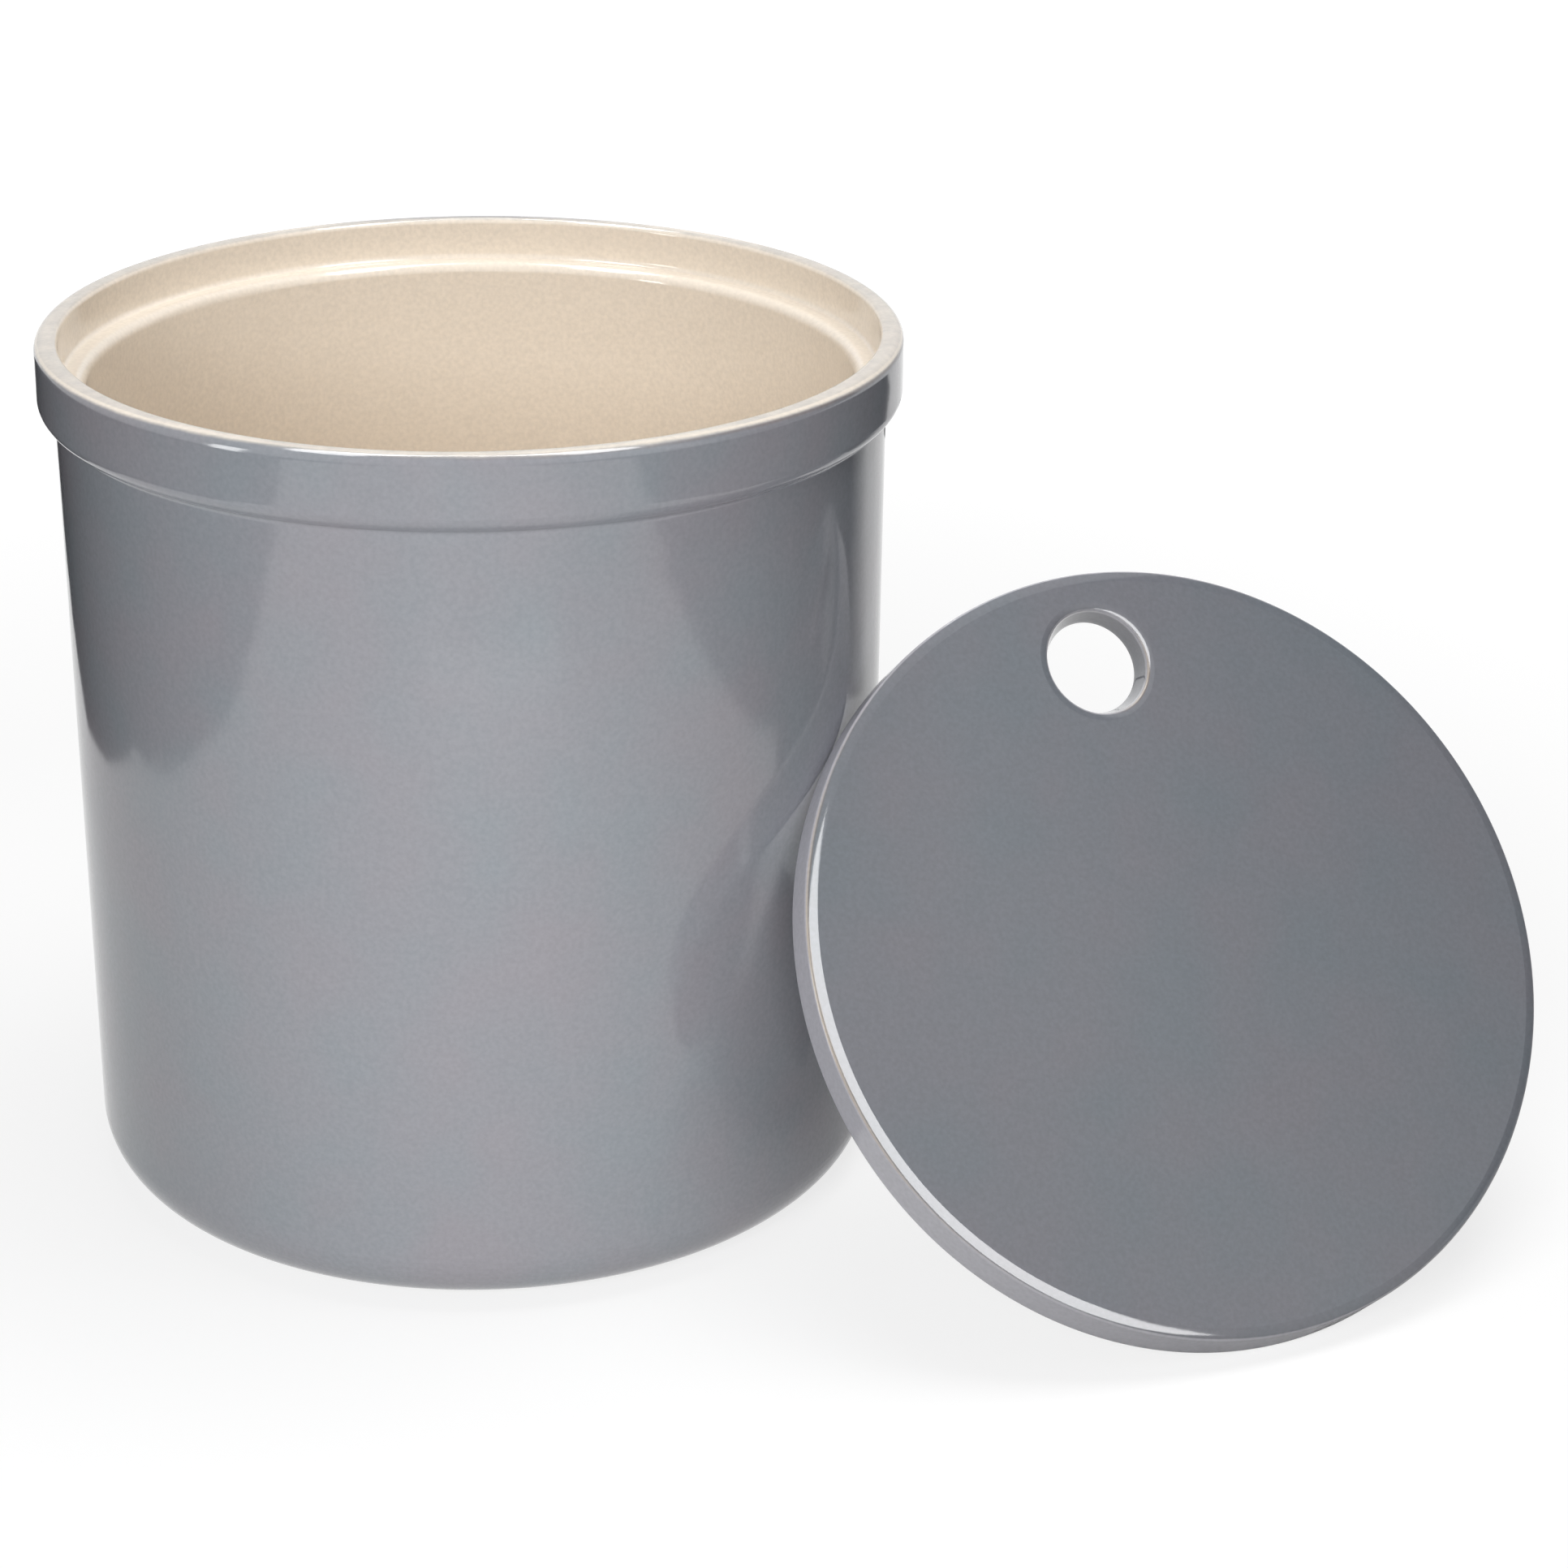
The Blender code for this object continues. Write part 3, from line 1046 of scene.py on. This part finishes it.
        # Mirrored in the glaze, the table behind the lid keeps its whole shadow
        inputs = {0: place, 1: self.gap_middle}
        gap = add_node(tree, "ShaderNodeVectorMath", inputs, operation="DISTANCE")
        inputs = {
            "Value": gap.outputs["Value"],
            "From Min": self.gap_fades[0],
            "From Max": self.gap_fades[1],
        }
        open_table = add_node(tree, "ShaderNodeMapRange", inputs).outputs["Result"]
        glossy = add_node(tree, "ShaderNodeLightPath", {}).outputs["Is Glossy Ray"]
        kept = add_node(tree, "ShaderNodeMix", {"Factor": glossy, "A": 1.0, "B": open_table})
        inputs = {0: straight.outputs[0], 1: kept.outputs["Result"]}
        glow_share = add_node(tree, "ShaderNodeMath", inputs, operation="MULTIPLY").outputs[0]

        # Matt paint, darker as a lamp's bounce than as seen, under the plain white
        inputs = {"Factor": seen, "A": linear(self.table_as_light), "B": linear(self.table_as_seen)}
        tint = add_node(tree, "ShaderNodeMix", inputs, data_type="RGBA").outputs["Result"]
        paint = add_node(tree, "ShaderNodeBsdfDiffuse", {"Color": tint}).outputs[0]
        glow = {"Color": WHITE, "Strength": self.table_glow}
        white = add_node(tree, "ShaderNodeEmission", glow).outputs[0]
        mixed = add_node(tree, "ShaderNodeMixShader", {0: glow_share, 1: paint, 2: white})
        add_node(tree, "ShaderNodeOutputMaterial", {"Surface": mixed.outputs[0]})
        floor.data.materials.append(material)

    def cloth(self, name: str, card: GradedCard | None = None) -> bpy.types.Material:
        """Make a black studio cloth, or the paint of a card that grades from white into black.

        The grade is the length from the white place along the line to the dark place.

        Args:
            name: the material's name.
            card: the graded card, or None for plain black.

        Returns:
            A material that shows its own darkness under any lamp.
        """
        material, tree = self.new_tree(name)
        black = linear(self.cloth_black)
        cloth = add_node(tree, "ShaderNodeEmission", {"Color": black, "Strength": 1.0})
        if card is not None:
            step = Vector(card.dark) - Vector(card.white)
            place = add_node(tree, "ShaderNodeTexCoord", {}).outputs["Object"]
            inputs = {0: place, 1: step.normalized()}
            along = add_node(tree, "ShaderNodeVectorMath", inputs, operation="DOT_PRODUCT")
            start = Vector(card.white).dot(step.normalized())
            inputs = {
                "Value": along.outputs["Value"],
                "From Min": start,
                "From Max": start + step.length,
            }
            grade = add_node(tree, "ShaderNodeMapRange", inputs).outputs["Result"]
            inputs = {"Factor": grade, "A": WHITE, "B": black}
            shade = add_node(tree, "ShaderNodeMix", inputs, data_type="RGBA")
            tree.links.new(shade.outputs["Result"], cloth.inputs["Color"])
        add_node(tree, "ShaderNodeOutputMaterial", {"Surface": cloth.outputs[0]})
        return material

    def lay_flags(self) -> None:
        """Dark cloths on the table and graded cards, which the glaze mirrors and the camera doesn't see."""
        black = self.cloth("matt_black_cloth")
        sheets = [(tuple((x, y, 0.0) for x, y in corners), black) for corners in self.flags]
        sheets += [(card.corners, self.cloth("graded_card", card)) for card in self.cards]
        for number, (corners, material) in enumerate(sheets):
            flag = self.lay_sheet(f"flag_{number}", corners)
            flag.data.materials.append(material)
            flag.visible_camera = False
            flag.visible_diffuse = False
            flag.visible_shadow = False

    def light(self) -> None:
        """White surroundings as seen, at a softer level as light, and the softboxes."""
        world = bpy.data.worlds.new("white_studio")
        bpy.context.scene.world = world
        world.use_nodes = True
        tree = world.node_tree
        tree.nodes.clear()
        inputs = {"Value": self.seen(tree), "To Min": self.sky, "To Max": 1.0}
        level = add_node(tree, "ShaderNodeMapRange", inputs).outputs["Result"]
        sky = add_node(tree, "ShaderNodeBackground", {"Color": WHITE, "Strength": level})
        add_node(tree, "ShaderNodeOutputWorld", {"Surface": sky.outputs[0]})
        for lamp in self.lamps:
            lamp.hang()

    def aim_camera(self) -> None:
        """Set the camera: pitched down, then rolled about its own view, as the photograph was taken."""
        data = bpy.data.cameras.new("camera")
        data.sensor_width = self.sensor
        data.lens = self.lens
        data.clip_start = self.nearest
        camera = bpy.data.objects.new("camera", data)
        bpy.context.scene.collection.objects.link(camera)
        view = Vector((0, cos(self.pitch), -sin(self.pitch)))
        upright = Vector((0, sin(self.pitch), cos(self.pitch)))
        level = Vector((1, 0, 0))
        across = cos(self.roll) * level + sin(self.roll) * upright
        above = -sin(self.roll) * level + cos(self.roll) * upright
        turn = Matrix((across, above, -view)).transposed().to_4x4()
        camera.matrix_world = Matrix.Translation(self.camera_place) @ turn
        bpy.context.scene.camera = camera
        bpy.context.scene.view_settings.view_transform = "Standard"


def main() -> None:
    """Build the crock and the lid, then the studio round them."""
    logging.basicConfig(level=logging.INFO, format="%(name)s: %(message)s")
    for maker, glaze in ((Crock(), CROCK_GLAZE), (Lid(), LID_GLAZE)):
        piece = maker.build()
        maker.dress(piece, glaze)
        mesh = piece.data
        LOG.info("%s: %d vertices, %d faces", piece.name, len(mesh.vertices), len(mesh.polygons))
    studio = StudioSet()
    studio.lay_floor()
    studio.lay_flags()
    studio.light()
    studio.aim_camera()
    bpy.context.view_layer.update()
    LOG.info("sizes written")


if __name__ == "__main__":
    main()
